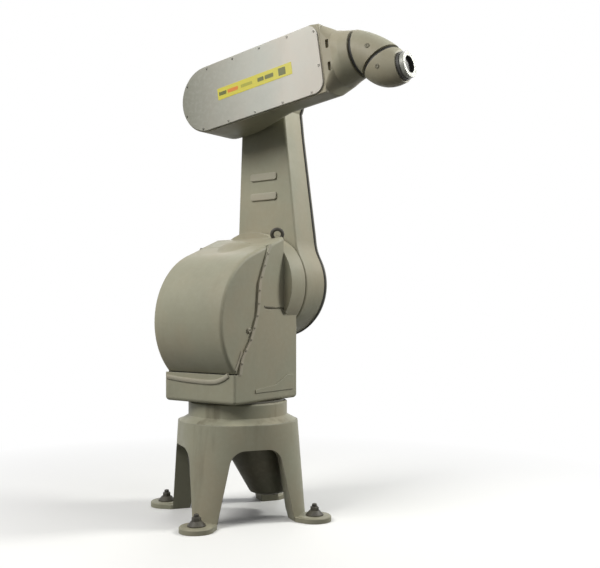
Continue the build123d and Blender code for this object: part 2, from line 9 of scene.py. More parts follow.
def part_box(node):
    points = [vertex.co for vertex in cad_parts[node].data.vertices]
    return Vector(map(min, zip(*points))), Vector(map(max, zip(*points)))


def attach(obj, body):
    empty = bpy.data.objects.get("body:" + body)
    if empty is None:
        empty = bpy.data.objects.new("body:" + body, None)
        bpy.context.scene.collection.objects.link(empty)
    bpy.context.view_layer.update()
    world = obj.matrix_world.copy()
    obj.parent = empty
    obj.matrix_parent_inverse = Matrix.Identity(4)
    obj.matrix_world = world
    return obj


# Looks of the industrial robot arm. Lengths are metres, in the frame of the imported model.

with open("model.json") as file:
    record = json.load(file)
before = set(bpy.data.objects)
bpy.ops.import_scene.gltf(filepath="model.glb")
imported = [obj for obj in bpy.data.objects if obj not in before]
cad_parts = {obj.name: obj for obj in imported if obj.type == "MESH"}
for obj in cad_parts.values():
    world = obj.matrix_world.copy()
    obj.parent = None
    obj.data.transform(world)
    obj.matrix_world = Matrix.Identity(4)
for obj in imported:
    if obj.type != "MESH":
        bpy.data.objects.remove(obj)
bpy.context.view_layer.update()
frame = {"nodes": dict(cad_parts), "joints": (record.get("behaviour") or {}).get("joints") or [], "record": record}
nodes = frame["nodes"]
joints = {joint["name"]: joint for joint in frame["joints"]}
mounts = {mount["name"]: mount for mount in frame["record"]["mounts"]}

# Directions and units
UP = Vector((0, 0, 1))
NEAR = Vector((0, -1, 0))
FAR = Vector((0, 1, 0))
FRONT = Vector((1, 0, 0))
REAR = Vector((-1, 0, 0))
MILLIMETRE = 0.001

# Camera, found from the photograph: where it stands, where it looks and how far its frame is raised
CAMERA_PLACE = (3.843, -4.593, 1.377)
CAMERA_TURN = math.radians(35.956)
CAMERA_LENS = 53.77
CAMERA_SIGHT = 200.0
SENSOR_WIDTH = 36.0
FRAME_WIDTH = 600
FRAME_HEIGHT = 568
HORIZON_DROP = 22

# Colours, as linear light
PAINT = (0.330, 0.322, 0.236)
PAINT_WORN = (0.44, 0.43, 0.345)
PAINT_DIRT = (0.105, 0.098, 0.066)
GREASE = (0.085, 0.066, 0.036)
# Band colour of the hood, also used as painted highlight on the arm's ribs and the hood's lips
BAND_AND_HIGHLIGHT = (0.385, 0.365, 0.285)
# Dark paint; on the lower arm's cover, the turn motor in the arch and the slot trim it is painted shade
DARK_PAINT_AND_SHADE = (0.155, 0.150, 0.105)
PLATE = (0.61, 0.62, 0.565)
PLATE_REAR_SHADE = (0.22, 0.22, 0.18)
PLATE_WORN = (0.64, 0.64, 0.60)
PLATE_DIRT = (0.22, 0.21, 0.17)
RUBBER = (0.022, 0.021, 0.017)
STEEL = (0.115, 0.108, 0.088)
EYE = (0.045, 0.040, 0.030)
ZINC = (0.34, 0.33, 0.29)
FLANGE = (0.27, 0.275, 0.24)
FLANGE_STAIN = (0.34, 0.34, 0.31)
# Near-black painted shade for screw sockets and the tool bore
SOCKET_AND_BORE_SHADE = (0.012, 0.012, 0.010)
YELLOW = (0.57, 0.51, 0.045)
LABEL_DARK = (0.10, 0.11, 0.012)
LABEL_FAINT = (0.34, 0.33, 0.025)
LABEL_ORANGE = (0.62, 0.19, 0.015)
WHITE = (0.87, 0.87, 0.86)
FLOOR_SHADE = (0.05, 0.05, 0.04)
BACKGROUND = (1, 1, 1, 1)
DAYLIGHT = (0.93, 0.95, 1.0, 1)

# Surfaces. A grain is the scale per metre, detail and roughness of a noise, a span is the pair of values
# between which an effect grows, and a bump is a depth and a strength
BEVEL_SAMPLES = 6

# Paint
CLOUD_GRAIN = (2.3, 5.0, 0.55)
CLOUD_SPAN = (0.36, 0.68)
CLOUD_SHADE = 0.86
BROWN_GRAIN = (1.9, 3.0, 0.55)
BROWN_SPAN = (0.44, 0.62)
BROWN_TINT = (1.06, 0.94, 0.90)
BROWN_SHARE = 0.6
SPECKLE_GRAIN = (38.0, 3.0, 0.55)
SPECKLE_SPAN = (0.45, 0.72)
SPECKLE_SHARE = 0.10
STREAK_GRAIN = (9.0, 4.0, 0.55)
STREAK_STRETCH = (1, 1, 0.12)
STREAK_SPAN = (0.56, 0.80)
STREAK_SHARE = 0.34
PATCH_GRAIN = (14.0, 6.0, 0.65)
EDGE_BEND_SPAN = (0.992, 0.93)
EDGE_PATCH_SPAN = (0.40, 0.62)
EDGE_SHARE = 0.75
DUST_SLOPE_SPAN = (0.45, 0.88)
DUST_PATCH_SPAN = (0.3, 0.8)
REAR_SHADE_SPAN = (0.50, -0.40)
DIMPLE_GRAIN = (240.0, 2.0, 0.55)
DIMPLE_BUMP = (0.0006, 0.35)
WAVE_GRAIN = (17.0, 2.0, 0.55)
WAVE_BUMP = (0.004, 0.12)
PAINT_PATCH_SPAN = (0.25, 0.75)
PAINT_ROUGHNESS = (0.42, 0.60)
PAINT_GLOSS = 0.3

# Rubber
RUBBER_DUST_GRAIN = (30.0, 5.0, 0.55)
RUBBER_DUST_SPAN = (0.45, 0.85)
RUBBER_DUST_GAIN = 3.2
RUBBER_DUST_SHARE = 0.5
RUBBER_GRAIN = (420.0, 2.0, 0.55)
RUBBER_BUMP = (0.0005, 0.5)
RUBBER_EDGE = 0.002
RUBBER_ROUGHNESS = (0.55, 0.8)

# Metal
MARK_GRAIN = (160.0, 5.0, 0.7)
MARK_SPAN = (0.4, 0.8)
MARK_SHADE = 0.8
MARK_SHARE = 0.4
MARK_BUMP = (0.0003, 0.4)
STAIN_GRAIN = (22.0, 5.0, 0.55)
STAIN_SPAN = (0.44, 0.75)
STAIN_SHARE = 0.55
STAIN_ROUGHNESS = 0.22
METAL_EDGE = 0.0012

# Film of the label
SCUFF_GRAIN = (60.0, 6.0, 0.7)
SCUFF_STRETCH = (1, 1, 3)
SCUFF_SPAN = (0.5, 0.8)
SCUFF_SHARE = 0.4
FADE_GAIN = 1.25
FADE_LIFT = 0.02
FILM_GRAIN = (90.0, 2.0, 0.55)
FILM_BUMP = (0.0002, 0.3)
FILM_ROUGHNESS = (0.34, 0.55)

# Angles in degrees above which an edge is drawn sharp
NODE_SHARP = 28
PIECE_SHARP = 32
RISE_SHARP = 40
BEAD_SHARP = 50

# Sides of round and six-sided pieces
HEXAGON = 6
TUBE_SIDES = 8
SCREW_SIDES = 20
STUD_SIDES = 24
CAP_SIDES = 32
WASHER_SIDES = 48
LINER_SIDES = 64
CORNER_STEPS = 6

# Rims of nodes: how near corners count as one, and how well the faces inside a rim agree with its axis
WELD_REACH = 0.00005
RIM_AGREEMENT = 0.95

# Screws: the height as a share of the radius, and the profiles in shares of both
SCREW_HEIGHT = 0.8
SCREW_HEAD = ((1, 0), (1, 0.7), (0.8, 1), (0, 1))
# The socket is a flat six-sided disc just above the head, dark as painted shade
SCREW_SOCKET_SHADE = ((0.48, 1.02), (0, 1.02))

# Limit in Y of the way inwards, which leaves the hood's bands only the screws of their far edge
HOOD_SCREW_LIMIT = -0.3

# Foot anchors, as (radius, height) over a pad
ANCHOR_COUNT = 4
PAD_TOP = 0.035
WASHER = ((0, 0), (0.057, 0), (0.057, 0.006), (0.050, 0.013), (0.034, 0.031), (0, 0.032))
NUT = ((0.029, 0.031), (0.029, 0.052), (0.025, 0.056), (0, 0.057))
STUD_RADIUS = 0.0165
STUD_ROOT = 0.0150
STUD_FOOT = 0.050
STUD_END = ((STUD_ROOT, 0.071), (0.0125, 0.074), (0, 0.074))
THREAD_START = 0.056
THREAD_PITCH = 0.002
THREAD_TURNS = 7

# Caps of the cable ports: (radius, height), where each stands across the panel and its share of the radius
PORT_PROFILE = ((0.030, 0), (0.030, 0.010), (0.024, 0.014), (0.024, 0.022), (0.020, 0.026), (0, 0.026))
PORT_PLACES = ((0.25, 1.0), (0.5, 0.75), (0.75, 1.0))
PORT_RISE = 0.09

# Joint line round the cover of the lower arm, a dark bead that is also painted shade along the shaded far edge
JOINT_LINE_RADIUS = 0.009
JOINT_LINE_SPACING = 0.02

# Bars of the generic label: start and end from the elbow, height and colour
DARK_BAR, ORANGE_BAR, FAINT_BAR = range(3)
LABEL_DROP = 0.004
LABEL_BARS = (
    (-0.095, -0.030, 0.024, DARK_BAR),
    (-0.020, 0.070, 0.024, ORANGE_BAR),
    (0.095, 0.190, 0.020, FAINT_BAR),
    (0.235, 0.285, 0.026, DARK_BAR),
    (0.295, 0.365, 0.026, DARK_BAR),
    (0.405, 0.462, 0.048, DARK_BAR),
)
BAR_DEPTH = 0.0005
BAR_CORNER = 0.0025
BAR_EDGE = 0.0001

# Lining of the tool bore, a near-black sheet of painted shade: (inset, height) at its mouth, its wall and how far
# it stays off the bore's end
LINER_MOUTH = ((0.0002, -0.001), (0.003, -0.0005), (0.004, -0.004))
LINER_WALL = 0.004
LINER_GAP = 0.001

# Plugs of the wrist: the pixel where each is seen, its radius, and a profile in shares of radius and height
WRIST_PLUGS = (
    ("upper_wrist_plug", "wrist_upper", 367.0, 45.5, 0.016),
    ("lower_wrist_plug", "wrist_lower", 377.0, 66.0, 0.014),
)
PLUG_HEIGHT = 0.0025
PLUG_ROOT = 0.006
PLUG_PROFILE = ((1, 0.6), (0.85, 1), (0.45, 1), (0.35, 0.3), (0, 0.3))

# Lug beside the band of the hood: the pixel where it is seen, and (radius, height)
LUG_PIXEL = (248.5, 330.5)
LUG_PROFILE = ((0.017, -0.002), (0.017, 0.008), (0.013, 0.012), (0.007, 0.012), (0.006, 0.007), (0, 0.007))

# Beads on the turret: half the width and the depth of each, and the pixels that it is seen along
TURRET_FACES = ("turret_casting", "motor_hood", "hood_band", "hood_seat")
HOOD_LIP_SIZE = (0.015, 0.009)
HOOD_LIP_PIXELS = (
    (167.5, 376.5), (180, 379), (195, 381), (208, 382.3), (217, 382), (224, 379), (229.5, 374.8),
)
FRONT_LIP_SIZE = (0.010, 0.006)
FRONT_LIP_PIXELS = ((235.2, 371), (237.6, 365), (239.9, 358), (242.0, 350.5))
# The slot trim is a dark bead of painted shade along the slot below the shoulder
SLOT_SHADE_SIZE = (0.006, 0.003)
SLOT_SHADE_PIXELS = ((264.5, 306.5), (274, 307.3), (279.5, 308.5), (283, 311.5), (287, 313.5))
BEAD_SECTION = ((-1.0, -1.2), (-1.0, 0.55), (-0.72, 1.0), (0.72, 1.0), (1.0, 0.55), (1.0, -1.2))
BEAD_STEPS = 6
BEAD_SMOOTHING = 4
RESTING_SMOOTHING = 2
RESTING_REACH = 0.06

# Rise on the hood: the search for the end of the drum, the steps of its surface, and how far it runs out
SKY = 3.5
SEARCH_START = -0.25
SEARCH_STEP = 0.002
SEARCH_COUNT = 150
DRUM_PROUD = 0.005
DRUM_MARGIN = 0.004
HOOD_SHIFTS = (-0.01, 0, 0.01)
RISE_COLUMNS = 28
RISE_ROWS = 8
RISE_LEAST = 0.001
RISE_OVERLAP = 0.003
RISE_RUN = 4.0
RISE_FOOT = 0.012
RISE_SINK = 0.001
RISE_ROOT = 0.015

# Stage
FLOOR_REACH = 60.0
FLOOR_LEVEL = -0.0005
FLOOR_ROUGHNESS = 0.9
FLOOR_FADE = (1.2, 3.6)
DAYLIGHT_STRENGTH = 0.22

# Lights: name, place, target, size, power and colour
LIGHTS = (
    ("key", (-1.3, -4.9, 5.6), (0, 0, 1.7), 3.2, 350, (1.0, 0.985, 0.95)),
    ("front", (3.0, 0.6, 6.6), (0, 0, 2.2), 2.4, 60, (1.0, 1.0, 0.97)),
    ("side", (3.7, 3.1, 4.4), (0.1, 0.4, 2.1), 1.3, 205, (1.0, 1.0, 0.95)),
    ("back", (-3.0, 4.5, 5.5), (0, 0, 1.6), 3.0, 90, (1.0, 1.0, 1.0)),
)

# Places that the frame gives
shoulder = Vector(joints["shoulder_swing"]["pos_m"])
elbow = Vector(joints["elbow_swing"]["pos_m"])
forearm_axis = Vector(joints["wrist_roll_one"]["axis"]).normalized()
forearm_turn = math.atan2(forearm_axis.z, forearm_axis.x)
forearm_up = forearm_axis.cross(NEAR).normalized()
if forearm_up.z < 0:
    forearm_up = -forearm_up
foot_face = Vector(mounts["floor_face"]["pos_m"])
foot_angle = math.atan2(foot_face.y, foot_face.x)
foot_reach = mounts["floor_bolts"]["dims"]["pcd_mm"] / 2 * MILLIMETRE
tool_face = Vector(mounts["tool_bolts"]["pos_m"])
tool_axis = Vector(mounts["tool_bolts"]["axis"])
bore_radius = mounts["hollow_bore"]["dims"]["r_mm"] * MILLIMETRE
bore_depth = mounts["hollow_bore"]["dims"]["length_mm"] * MILLIMETRE


class Graph:
    """The node tree of a new material, with short calls that add and join its nodes."""

    # Sockets of the Mix node that carry colours
    MIX_FIRST = 6
    MIX_SECOND = 7
    MIX_RESULT = 2

    def __init__(self, name):
        self.material = bpy.data.materials.new(name)
        self.material.use_nodes = True
        self.tree = self.material.node_tree
        self.shader = self.tree.nodes["Principled BSDF"]
        self.place = self.add("ShaderNodeTexCoord").outputs["Object"]
        self.normal = self.add("ShaderNodeNewGeometry").outputs["Normal"]

    def add(self, kind, sockets=None, **settings):
        """A new node with its settings made and its sockets filled or joined."""
        node = self.tree.nodes.new(kind)
        for name, value in settings.items():
            setattr(node, name, value)
        for name, value in (sockets or {}).items():
            self.feed(node.inputs[name], value)
        return node

    def feed(self, socket, value):
        """Joins a socket to another node's output, or sets its value."""
        if isinstance(value, bpy.types.NodeSocket):
            self.tree.links.new(value, socket)
        elif isinstance(value, tuple) and len(value) == 3 and socket.type == "RGBA":
            socket.default_value = (*value, 1)
        else:
            socket.default_value = value

    def noise(self, grain, stretch=(1, 1, 1)):
        """Noise from 0 to 1 of a grain, which may be drawn out along an axis."""
        scale, detail, roughness = grain
        place = self.add("ShaderNodeMapping", {"Vector": self.place, "Scale": stretch})
        sockets = {"Vector": place.outputs[0], "Scale": scale, "Detail": detail, "Roughness": roughness}
        return self.add("ShaderNodeTexNoise", sockets).outputs["Fac"]

    def spread(self, value, span, ends=(0.0, 1.0)):
        """A value that goes from one end to the other over a span."""
        sockets = {"Value": value, "From Min": span[0], "From Max": span[1]}
        sockets |= {"To Min": ends[0], "To Max": ends[1]}
        return self.add("ShaderNodeMapRange", sockets, clamp=True).outputs[0]

    def times(self, first, second):
        """The product of two values."""
        node = self.add("ShaderNodeMath", operation="MULTIPLY")
        self.feed(node.inputs[0], first)
        self.feed(node.inputs[1], second)
        return node.outputs[0]

    def mix(self, first, second, factor):
        """One colour laid over another by a factor."""
        node = self.add("ShaderNodeMix", data_type="RGBA")
        self.feed(node.inputs["Factor"], factor)
        self.feed(node.inputs[self.MIX_FIRST], first)
        self.feed(node.inputs[self.MIX_SECOND], second)
        return node.outputs[self.MIX_RESULT]

    def dot(self, first, second):
        """How far two directions agree, from -1 to 1."""
        node = self.add("ShaderNodeVectorMath", operation="DOT_PRODUCT")
        self.feed(node.inputs[0], first)
        self.feed(node.inputs[1], second)
        return node.outputs["Value"]

    def rounded(self, radius):
        """The surface direction with every sharp edge rounded by a radius."""
        return self.add("ShaderNodeBevel", {"Radius": radius}, samples=BEVEL_SAMPLES).outputs["Normal"]

    def bump(self, height, normal, distance, strength):
        """The surface direction with a height laid over it."""
        sockets = {"Height": height, "Distance": distance, "Strength": strength, "Normal": normal}
        return self.add("ShaderNodeBump", sockets).outputs["Normal"]

    def finish(self, colour, roughness, normal, metallic=0.0):
        """Joins the results to the shader and returns the material."""
        self.feed(self.shader.inputs["Base Color"], colour)
        self.feed(self.shader.inputs["Roughness"], roughness)
        self.feed(self.shader.inputs["Normal"], normal)
        self.feed(self.shader.inputs["Metallic"], metallic)
        return self.material


def times_colour(colour, factor):
    """A colour made lighter or darker by a factor."""
    return tuple(factor * value for value in colour)


def paint(name, colour, worn, dirt,
          edge_radius=0.005, dirt_share=0.5, rear=None, top_share=0.22, top=None):
    """Satin machine paint: cloudy, faintly dimpled, dusty on top, grimy in streaks and worn on its edges.
    A rear colour is painted shade that grows towards the back of the forearm, and a top colour is laid over the
    upward-facing surfaces."""
    graph = Graph(name)
    clouds = graph.spread(graph.noise(CLOUD_GRAIN), CLOUD_SPAN)
    speckle = graph.spread(graph.noise(SPECKLE_GRAIN), SPECKLE_SPAN)
    streaks = graph.spread(graph.noise(STREAK_GRAIN, STREAK_STRETCH), STREAK_SPAN)
    patches = graph.noise(PATCH_GRAIN)
    edge = graph.spread(graph.dot(graph.rounded(edge_radius), graph.normal), EDGE_BEND_SPAN)
    edge = graph.times(edge, graph.spread(patches, EDGE_PATCH_SPAN))
    dust = graph.spread(graph.dot(graph.normal, UP), DUST_SLOPE_SPAN)
    dust = graph.times(dust, graph.spread(patches, DUST_PATCH_SPAN))
    base = graph.mix(colour, times_colour(colour, CLOUD_SHADE), clouds)
    browner = tuple(value * tint for value, tint in zip(colour, BROWN_TINT))
    brown = graph.spread(graph.noise(BROWN_GRAIN), BROWN_SPAN)
    base = graph.mix(base, browner, graph.times(brown, BROWN_SHARE))
    # Painted shade: the colour turns towards the rear colour towards the back of the forearm
    if rear is not None:
        along = graph.add("ShaderNodeSeparateXYZ", {"Vector": graph.place}).outputs["X"]
        base = graph.mix(base, rear, graph.spread(along, REAR_SHADE_SPAN))
    base = graph.mix(base, worn, graph.times(speckle, SPECKLE_SHARE))
    base = graph.mix(base, dirt, graph.times(streaks, STREAK_SHARE * dirt_share))
    base = graph.mix(base, top or worn, graph.times(dust, top_share))
    base = graph.mix(base, worn, graph.times(edge, EDGE_SHARE))
    dimples = graph.bump(graph.noise(DIMPLE_GRAIN), graph.rounded(edge_radius), *DIMPLE_BUMP)
    surface = graph.bump(graph.noise(WAVE_GRAIN), dimples, *WAVE_BUMP)
    roughness = graph.spread(patches, PAINT_PATCH_SPAN, PAINT_ROUGHNESS)
    graph.feed(graph.shader.inputs["Specular IOR Level"], PAINT_GLOSS)
    return graph.finish(base, roughness, surface)


def rubber(name, colour):
    """Matt black rubber with dust in its grain."""
    graph = Graph(name)
    dust = graph.spread(graph.noise(RUBBER_DUST_GRAIN), RUBBER_DUST_SPAN)
    dusty = times_colour(colour, RUBBER_DUST_GAIN)
    base = graph.mix(colour, dusty, graph.times(dust, RUBBER_DUST_SHARE))
    surface = graph.bump(graph.noise(RUBBER_GRAIN), graph.rounded(RUBBER_EDGE), *RUBBER_BUMP)
    return graph.finish(base, graph.spread(dust, (0, 1), RUBBER_ROUGHNESS), surface)


def metal(name, colour, stain, roughness, metallic):
    """Machined metal with fine marks and stains."""
    graph = Graph(name)
    marks = graph.noise(MARK_GRAIN)
    stains = graph.spread(graph.noise(STAIN_GRAIN), STAIN_SPAN)
    base = graph.mix(colour, stain, graph.times(stains, STAIN_SHARE))
    marked = times_colour(colour, MARK_SHADE)
    base = graph.mix(base, marked, graph.spread(marks, MARK_SPAN, (0, MARK_SHARE)))
    surface = graph.bump(marks, graph.rounded(METAL_EDGE), *MARK_BUMP)
    glint = graph.spread(stains, (0, 1), (roughness, roughness + STAIN_ROUGHNESS))
    return graph.finish(base, glint, surface, metallic)


def film(name, colour):
    """Printed film of a label, a little faded and scuffed."""
    graph = Graph(name)
    faded = tuple(min(1.0, FADE_GAIN * value + FADE_LIFT) for value in colour)
    scuffs = graph.spread(graph.noise(SCUFF_GRAIN, SCUFF_STRETCH), SCUFF_SPAN)
    base = graph.mix(colour, faded, graph.times(scuffs, SCUFF_SHARE))
    surface = graph.bump(graph.noise(FILM_GRAIN), graph.normal, *FILM_BUMP)
    return graph.finish(base, graph.spread(scuffs, (0, 1), FILM_ROUGHNESS), surface)


body_paint = paint("body_paint", PAINT, PAINT_WORN, PAINT_DIRT)
# Upward-facing surfaces of the pedestal turn darker, towards PAINT_DIRT
low_paint = paint(
    "low_paint", PAINT, PAINT_WORN, PAINT_DIRT, dirt_share=1.3, top_share=0.7, top=PAINT_DIRT
)
neck_paint = paint("neck_paint", PAINT, PAINT_WORN, GREASE, dirt_share=2.4)
# Band paint of the hood, also a painted highlight on the hood's lips
band_and_highlight_paint = paint("band_and_highlight_paint", BAND_AND_HIGHLIGHT, PAINT_WORN, PAINT_DIRT, edge_radius=0.003)
# Ribs in the lighter band colour with wider light edges, a painted highlight of their lit tops and edges
rib_highlight_paint = paint("rib_highlight_paint", BAND_AND_HIGHLIGHT, PAINT_WORN, PAINT_DIRT, edge_radius=0.009)
# Dark paint of plugs, and painted shade on the arm cover, the motor inside the arch and the slot trim
dark_paint_and_shade = paint("dark_paint_and_shade", DARK_PAINT_AND_SHADE, PAINT_WORN, PAINT_DIRT)
# The forearm plate darkens towards the back of the forearm as painted shade
plate_paint = paint(
    "plate_paint", PLATE, PLATE_WORN, PLATE_DIRT, edge_radius=0.003, dirt_share=0.25, rear=PLATE_REAR_SHADE
)
black_rubber = rubber("black_rubber", RUBBER)
dark_steel = metal("dark_steel", STEEL, PAINT_DIRT, roughness=0.38, metallic=0.55)
eye_steel = metal("eye_steel", EYE, PAINT_DIRT, roughness=0.5, metallic=0.1)
zinc_steel = metal("zinc_steel", ZINC, PAINT_DIRT, roughness=0.34, metallic=0.75)
flange_metal = metal("flange_metal", FLANGE, FLANGE_STAIN, roughness=0.36, metallic=0.15)
socket_and_bore_shade = metal("socket_and_bore_shade", SOCKET_AND_BORE_SHADE, RUBBER, roughness=0.5, metallic=0.0)
label_yellow = film("label_yellow", YELLOW)
label_dark = film("label_dark", LABEL_DARK)
label_orange = film("label_orange", LABEL_ORANGE)
label_faint = film("label_faint", LABEL_FAINT)

NODE_LOOKS = {
    "pedestal_casting": low_paint,
    "bearing_housing": neck_paint,
    "turn_motor_housing": dark_paint_and_shade,
    "turn_motor_cap": dark_steel,
    "turntable": dark_steel,
    "hood_band": band_and_highlight_paint,
    "arm_cover": dark_paint_and_shade,
    "arm_ribs": rib_highlight_paint,
    "forearm_plate": plate_paint,
    "label_plate": label_yellow,
    "hood_seat": black_rubber,
    "roll_one_seal": black_rubber,
    "roll_two_seal": black_rubber,
    "roll_three_seal": black_rubber,
    "shoulder_disc": dark_steel,
    "elbow_disc": dark_steel,
    "lifting_eye": eye_steel,
    "tool_flange": flange_metal,
}
for name, node in nodes.items():
    node.data.materials.clear()
    node.data.materials.append(NODE_LOOKS.get(name, body_paint))
    node.data.shade_smooth()
    node.data.set_sharp_from_angle(angle=math.radians(NODE_SHARP))


def facing(point, axis, turn=0.0):
    """A place at a point, with its Z along an axis."""
    turned = Vector(axis).to_track_quat("Z", "Y").to_matrix().to_4x4()
    return Matrix.Translation(Vector(point)) @ turned @ Matrix.Rotation(turn, 4, "Z")


def scaled(profile, radius, height):
    """A profile that is given in shares, at its real size."""
    return [(radius * out, height * up) for out, up in profile]


def lathe(form, place, profile, sides, material=0):
    """Adds the surface that a profile of (radius, height) points makes round the Z axis of a place."""
    rings = []
    for radius, height in profile:
        if radius == 0:
            rings.append([form.verts.new(place @ Vector((0, 0, height)))])
            continue
        turns = [math.tau * step / sides for step in range(sides)]
        points = [Vector((radius * math.cos(turn), radius * math.sin(turn), height)) for turn in turns]
        rings.append([form.verts.new(place @ point) for point in points])
    for low, high in zip(rings, rings[1:]):
        for step in range(sides):
            after = (step + 1) % sides
            corners = [low[step % len(low)], low[after % len(low)]]
            corners += [high[after % len(high)], high[step % len(high)]]
            face = form.faces.new(list(dict.fromkeys(corners)))
            face.material_index = material


def join_rings(form, pairs, material=0):
    """Adds the faces between pairs of closed rings that have the same number of corners."""
    for low, high in pairs:
        for step in range(len(low)):
            after = (step + 1) % len(low)
            face = form.faces.new((low[step], low[after], high[after], high[step]))
            face.material_index = material


def slab(form, place, width, height, material):
    """Adds a bar of the label with rounded corners and a bevelled top edge, on the XY plane of a place."""
    rings = []
    for inset, level in ((0, 0), (0, BAR_DEPTH - BAR_EDGE), (BAR_EDGE, BAR_DEPTH)):
        ring = []
        for quarter, (across, along) in enumerate(((1, 1), (-1, 1), (-1, -1), (1, -1))):
            centre = Vector((across * (width / 2 - BAR_CORNER), along * (height / 2 - BAR_CORNER), level))
            for step in range(CORNER_STEPS + 1):
                turn = math.pi / 2 * (quarter + step / CORNER_STEPS)
                point = centre + Vector((math.cos(turn), math.sin(turn), 0)) * (BAR_CORNER - inset)
                ring.append(form.verts.new(place @ point))
        rings.append(ring)
    join_rings(form, zip(rings, rings[1:]), material)
    form.faces.new(rings[-1]).material_index = material
    form.faces.new(list(reversed(rings[0]))).material_index = material


def tube(form, points, axis, radius):
    """Adds a closed round bead along points that lie in a plane across an axis."""
    rings = []
    for index, point in enumerate(points):
        after = points[(index + 1) % len(points)]
        across = (after - points[index - 1]).normalized().cross(axis).normalized()
        turns = [math.tau * step / TUBE_SIDES for step in range(TUBE_SIDES)]
        rings.append([
            form.verts.new(point + (across * math.cos(turn) + axis * math.sin(turn)) * radius)
            for turn in turns
        ])
    join_rings(form, zip(rings, rings[1:] + rings[:1]))


def smoothed(values, turns):
    """Vectors evened out against their neighbours a number of times, with the ends kept."""
    for turn in range(turns):
        between = [(a + 2 * b + c) / 4 for a, b, c in zip(values, values[1:], values[2:])]
        values = values[:1] + between + values[-1:]
    return values


def strip(form, path, half_width, depth):
    """Adds a flat bead along a path of points and surface directions, bevelled on its outer side."""
    rings = []
    for index, (point, normal) in enumerate(path):
        before = path[max(index - 1, 0)][0]
        after = path[min(index + 1, len(path) - 1)][0]
        across = (after - before).cross(normal).normalized()
        rings.append([
            form.verts.new(point + across * half_width * side + normal.normalized() * depth * rise)
            for side, rise in BEAD_SECTION
        ])
    join_rings(form, zip(rings, rings[1:]))
    form.faces.new(rings[0])
    form.faces.new(rings[-1])


def place_piece(name, body, form, materials, sharp=PIECE_SHARP):
    """Turns a form into an object that rides on a body, with its materials."""
    bmesh.ops.recalc_face_normals(form, faces=form.faces)
    mesh = bpy.data.meshes.new(name)
    form.to_mesh(mesh)
    form.free()
    for material in materials:
        mesh.materials.append(material)
    mesh.shade_smooth()
    mesh.set_sharp_from_angle(angle=math.radians(sharp))
    made = bpy.data.objects.new(name, mesh)
    bpy.context.scene.collection.objects.link(made)
    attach(made, body)


def rim(name, axis):
    """The outline, as ordered points, of what faces along an axis at the outer side of a node."""
    form = bmesh.new()
    form.from_mesh(nodes[name].data)
    bmesh.ops.remove_doubles(form, verts=form.verts, dist=WELD_REACH)
    form.normal_update()
    flat = {face for face in form.faces if face.normal.dot(axis) > RIM_AGREEMENT}
    reach = {}
    for edge in form.edges:
        if sum(face in flat for face in edge.link_faces) == 1:
            first, second = edge.verts
            reach.setdefault(first, []).append(second)
            reach.setdefault(second, []).append(first)
    loops = []
    while reach:
        start = next(iter(reach))
        loop = [start]
        here = start
        while reach.get(here):
            step = reach[here].pop()
            reach[step].remove(here)
            if not reach[here]:
                del reach[here]
            if step is start:
                break
            loop.append(step)
            here = step
        reach = {corner: others for corner, others in reach.items() if others}
        loops.append([corner.co.copy() for corner in loop])
    form.free()
    return max(loops, key=lambda loop: sum((a - b).length for a, b in zip(loop, loop[1:])))


def along_rim(loop, axis, spacing, inset=0.0, start=0.0):
    """Points at even steps round a loop, moved inwards by an inset, each with its inward direction."""
    closed = loop + loop[:1]
    sides = list(zip(closed, closed[1:]))
    lengths = [(second - first).length for first, second in sides]
    total = sum(lengths)
    count = max(3, round(total / spacing))
    centre = sum(loop, Vector()) / len(loop)
    area = sum((first - centre).cross(second - centre).dot(axis) for first, second in sides)
    turn = 1 if area > 0 else -1
    found = []
    for number in range(count):
        target = (total * number / count + start) % total
        for (first, second), length in zip(sides, lengths):
            if target <= length and length > 0:
                inward = axis.cross(second - first).normalized() * turn
                found.append((first.lerp(second, target / length) + inward * inset, inward))
                break
            target -= length
    return found


def screw(form, place, radius):
    """Adds a low socket screw with a bevelled head and a six-sided dark disc on it, painted shade for its recess.
    """
    height = radius * SCREW_HEIGHT
    lathe(form, place, scaled(SCREW_HEAD, radius, height), SCREW_SIDES)
    lathe(form, place, scaled(SCREW_SOCKET_SHADE, radius, height), HEXAGON, 1)


def screw_row(name, body, node, axis, spacing, inset, radius,
              start=0.0, limit=math.inf, head=zinc_steel):
    """Screws at even steps inside the rim of a node, where the way inwards stays under a limit in Y."""
    form = bmesh.new()
    for point, inward in along_rim(rim(node, axis), axis, spacing, inset, start):
        if inward.y < limit:
            screw(form, facing(point, axis), radius)
    place_piece(name, body, form, [head, socket_and_bore_shade])


def on_forearm(reach, rise, side):
    """A point from its reach and rise from the elbow in the plane of the forearm."""
    point = elbow + forearm_axis * reach + forearm_up * rise
    return Vector((point.x, side, point.z))


def seen_at(name, across, down):
    """Where the camera sees a node at a pixel of its frame and the surface direction there, or None."""
    focal = CAMERA_LENS / SENSOR_WIDTH * FRAME_WIDTH
    ray = Vector((across - FRAME_WIDTH / 2, FRAME_HEIGHT / 2 + HORIZON_DROP - down, -focal)).normalized()
    turned = Matrix.Rotation(CAMERA_TURN, 3, "Z") @ Matrix.Rotation(math.pi / 2, 3, "X") @ ray
    hit, point, normal, face = nodes[name].ray_cast(Vector(CAMERA_PLACE), turned)
    return (point, normal) if hit else None


def seen_first(names, across, down):
    """Where the camera sees the nearest of some nodes at a pixel, and the surface direction there."""
    found = [seen for seen in (seen_at(name, across, down) for name in names) if seen]
    return min(found, key=lambda seen: (seen[0] - Vector(CAMERA_PLACE)).length)


def resting(names, place, normal):
    """A place moved along a surface direction until it lies on the outermost of some nodes near it."""
    start = place + normal * RESTING_REACH
    hits = [nodes[name].ray_cast(start, -normal, distance=2 * RESTING_REACH) for name in names]
    found = [point for hit, point, direction, face in hits if hit]
    return min(found, key=lambda point: (point - start).length) if found else place


